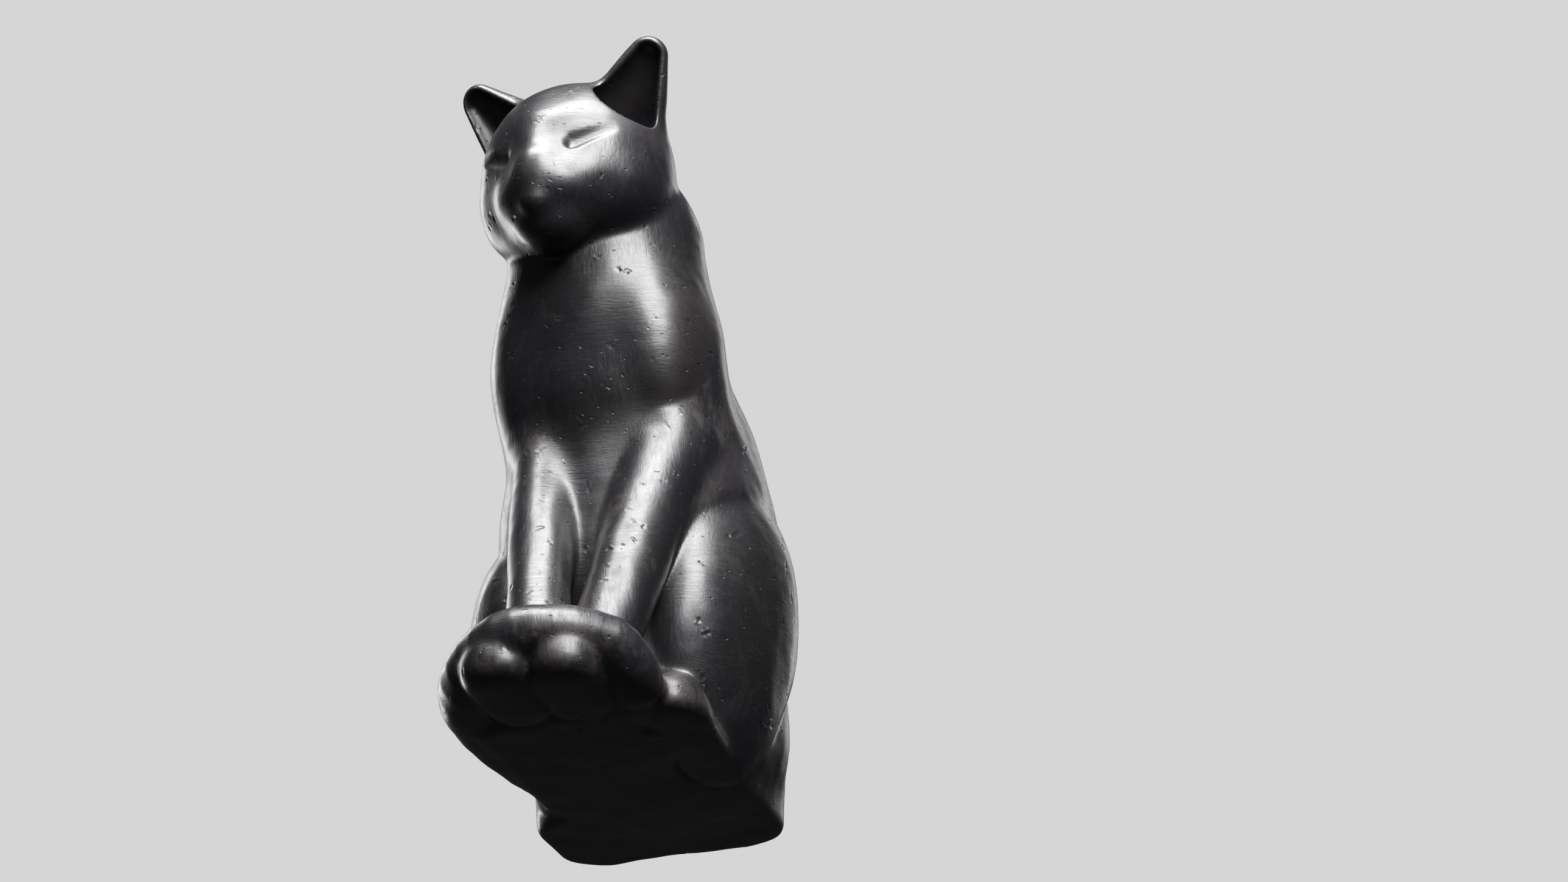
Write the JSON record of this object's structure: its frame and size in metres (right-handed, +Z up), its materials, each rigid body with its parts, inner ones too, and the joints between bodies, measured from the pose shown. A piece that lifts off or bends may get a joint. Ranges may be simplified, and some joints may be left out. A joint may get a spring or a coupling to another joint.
{
  "type": "seated cat figurine",
  "caption": "Seated ceramic cat figurine with closed eyes, cupped ears, a bowed head and a tail curled round its feet, on a flat underside.",
  "frame": {"origin": "on the flat underside, midway between the cat's sides and just behind its forelegs", "axes": "+Z up, -Y the way the cat faces, +X the cat's own left"},
  "size_m": [0.1104, 0.1691, 0.2785],
  "materials": {
    "black_glaze": "satin black glaze over cast stoneware, with small pits, tool marks and rusty brown wear on the raised edges"
  },
  "bodies": {
    "root": {"base_plate": "black_glaze", "body": "black_glaze", "head": "black_glaze", "left_ear": "black_glaze", "right_ear": "black_glaze", "left_foreleg": "black_glaze", "right_foreleg": "black_glaze", "left_forepaw": "black_glaze", "right_forepaw": "black_glaze", "left_haunch": "black_glaze", "right_haunch": "black_glaze", "left_hind_paw": "black_glaze", "tail": "black_glaze"}
  },
  "joints": []
}
